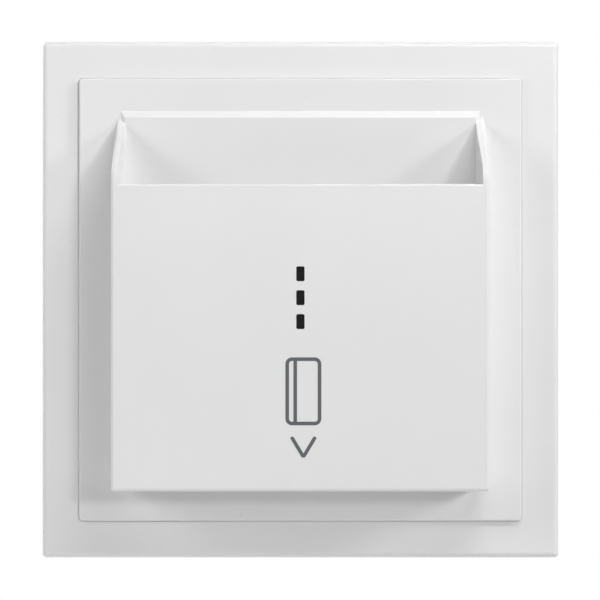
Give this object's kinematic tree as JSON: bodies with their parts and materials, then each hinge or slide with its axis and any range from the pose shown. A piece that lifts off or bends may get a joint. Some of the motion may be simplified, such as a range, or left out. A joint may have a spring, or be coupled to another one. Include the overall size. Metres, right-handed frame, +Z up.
{
  "type": "hotel key card switch",
  "caption": "Wall-mounted key card switch: a card pushed into the front pocket tilts a sprung lever that closes a contact unit; square frame, box-screw support plate.",
  "frame": {"origin": "centre of the 60 mm box-screw pattern, on the wall plane behind the support plate", "axes": "+X to the right seen from the front, +Y into the wall, +Z up; the front looks towards -Y"},
  "size_m": [0.082, 0.0442, 0.082],
  "materials": {
    "cover_plastic": "satin moulded white polycarbonate, very fine spark texture",
    "sign_ink": "pad-printed dark grey ink",
    "smoked_lens": "glossy smoked acrylic",
    "clear_plastic": "clear moulded acrylic",
    "galvanised_steel": "zinc-plated pressed steel",
    "screw_steel": "zinc-plated steel",
    "spring_steel": "drawn spring wire",
    "housing_plastic": "light grey polyamide",
    "lever_plastic": "white acetal",
    "switch_plastic": "black moulded thermoset",
    "plunger_plastic": "red-brown acetal",
    "board_laminate": "green solder resist",
    "lamp_plastic": "diffuse clear epoxy",
    "resistor_body": "beige lacquer",
    "diode_body": "black epoxy",
    "brown_insulation": "brown PVC insulation",
    "blue_insulation": "blue PVC insulation",
    "spring_bronze": "rolled spring bronze",
    "contact_silver": "silver contact rivet",
    "brass": "pressed and turned brass"
  },
  "bodies": {
    "housing": {"outer_frame": "cover_plastic", "pocket_cover": "cover_plastic", "indicator_lens": "smoked_lens", "light_pipe": "clear_plastic", "support_plate": "galvanised_steel", "support_screws": "screw_steel", "mechanism_housing": "housing_plastic", "mechanism_cover": "housing_plastic", "cover_screws": "screw_steel", "lever_pin": "screw_steel", "lever_spring": "spring_steel", "circuit_board": "board_laminate", "indicator_led": "lamp_plastic", "board_resistor": "resistor_body", "board_diode": "diode_body", "line_lead": "brown_insulation", "neutral_lead": "blue_insulation", "switch_case": "switch_plastic", "switch_lid": "switch_plastic", "blade_pin": "brass", "blade_spring": "spring_steel", "fixed_contact": "contact_silver", "line_strip": "brass", "load_strip": "brass", "line_terminal": "brass", "load_terminal": "brass", "neutral_terminal": "brass", "terminal_screws": "screw_steel"},
    "lever": {"card_lever": "lever_plastic"},
    "plunger": {"switch_plunger": "plunger_plastic"},
    "blade": {"contact_blade": "spring_bronze", "moving_contact": "contact_silver"}
  },
  "joints": [
    {"name": "lever_tilt", "type": "hinge", "parent": "housing", "child": "lever", "pos_m": [0, 0.0005, -0.0035], "axis": [1, 0, 0], "range_deg": [0, 16], "stiffness_Nm_per_rad": 0.05, "springref_deg": -28.65, "deforming": ["lever_spring"]},
    {"name": "plunger_press", "type": "slide", "parent": "housing", "child": "plunger", "axis": [0, 1, 0], "range_m": [0, 0.00157]},
    {"name": "blade_turn", "type": "hinge", "parent": "housing", "child": "blade", "pos_m": [-0.0084, 0.0098, -0.00924], "axis": [0, 0, 1], "range_deg": [0, 10.58], "deforming": ["blade_spring"]}
  ],
  "couplings": [
    {"joint": "plunger_press", "follows": "lever_tilt", "m_per_rad": 0.0055894},
    {"joint": "blade_turn", "follows": "lever_tilt", "ratio": 0.6579}
  ]
}
